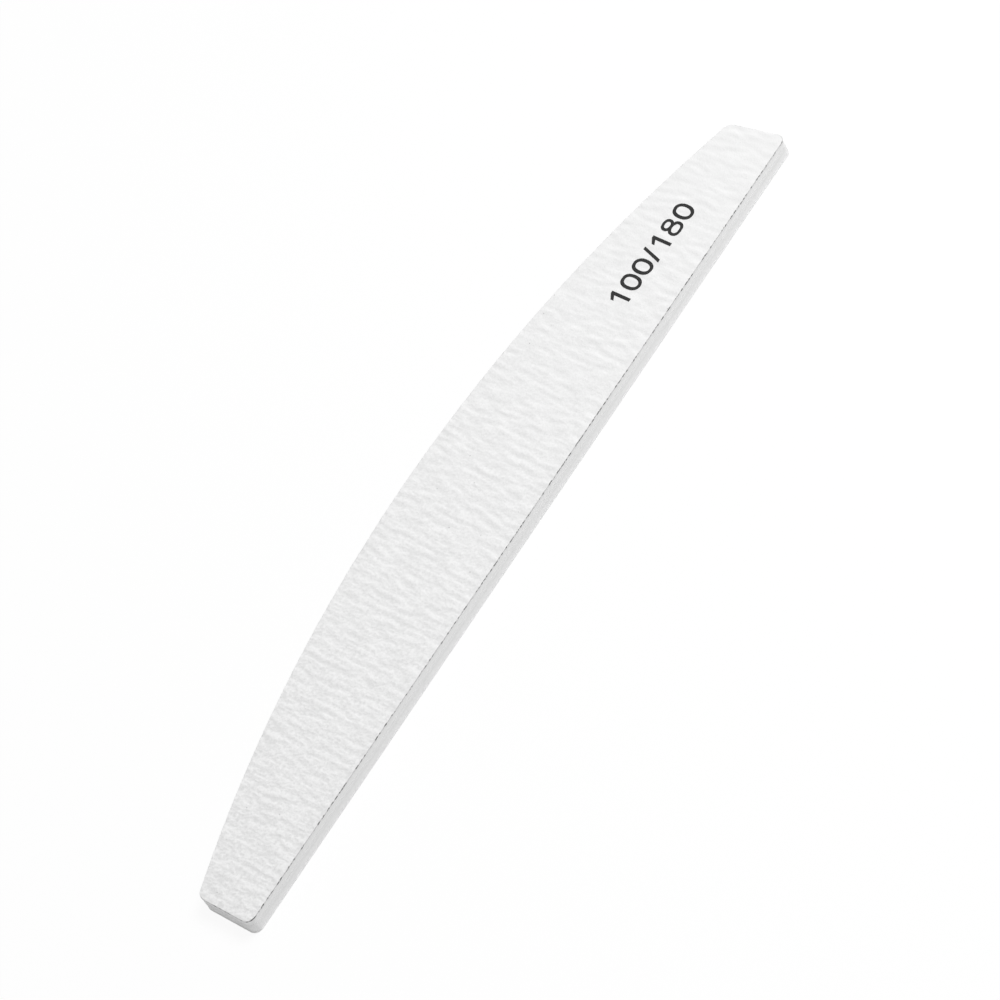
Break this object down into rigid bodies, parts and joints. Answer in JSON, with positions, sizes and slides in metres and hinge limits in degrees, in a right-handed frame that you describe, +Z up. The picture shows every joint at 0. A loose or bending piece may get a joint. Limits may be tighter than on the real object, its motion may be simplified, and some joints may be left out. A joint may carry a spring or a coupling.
{
  "type": "nail file",
  "caption": "Half-moon nail file: a flat foam-cushioned board with a coarse and a fine abrasive side, one straight edge and one bowed edge.",
  "frame": {"origin": "middle of the bounding box's lower face, on the fine abrasive side that the board rests on", "axes": "+X along the board's length, towards the end with the printed grit numbers; +Y across the board, towards the bowed edge; +Z up, out of the coarse side"},
  "size_m": [0.1778, 0.027, 0.004],
  "materials": {
    "coarse_abrasive_paper": "matte",
    "fine_abrasive_paper": "matte",
    "white_foam": "matte",
    "clear_adhesive": "satin",
    "white_polystyrene": "satin",
    "grit_number_ink": "matte"
  },
  "bodies": {
    "root": {"fine_abrasive_sheet": "fine_abrasive_paper", "fine_sheet_adhesive": "clear_adhesive", "lower_foam_pad": "white_foam", "lower_core_adhesive": "clear_adhesive", "plastic_core": "white_polystyrene", "upper_core_adhesive": "clear_adhesive", "upper_foam_pad": "white_foam", "coarse_sheet_adhesive": "clear_adhesive", "coarse_abrasive_sheet": "coarse_abrasive_paper"}
  },
  "joints": []
}
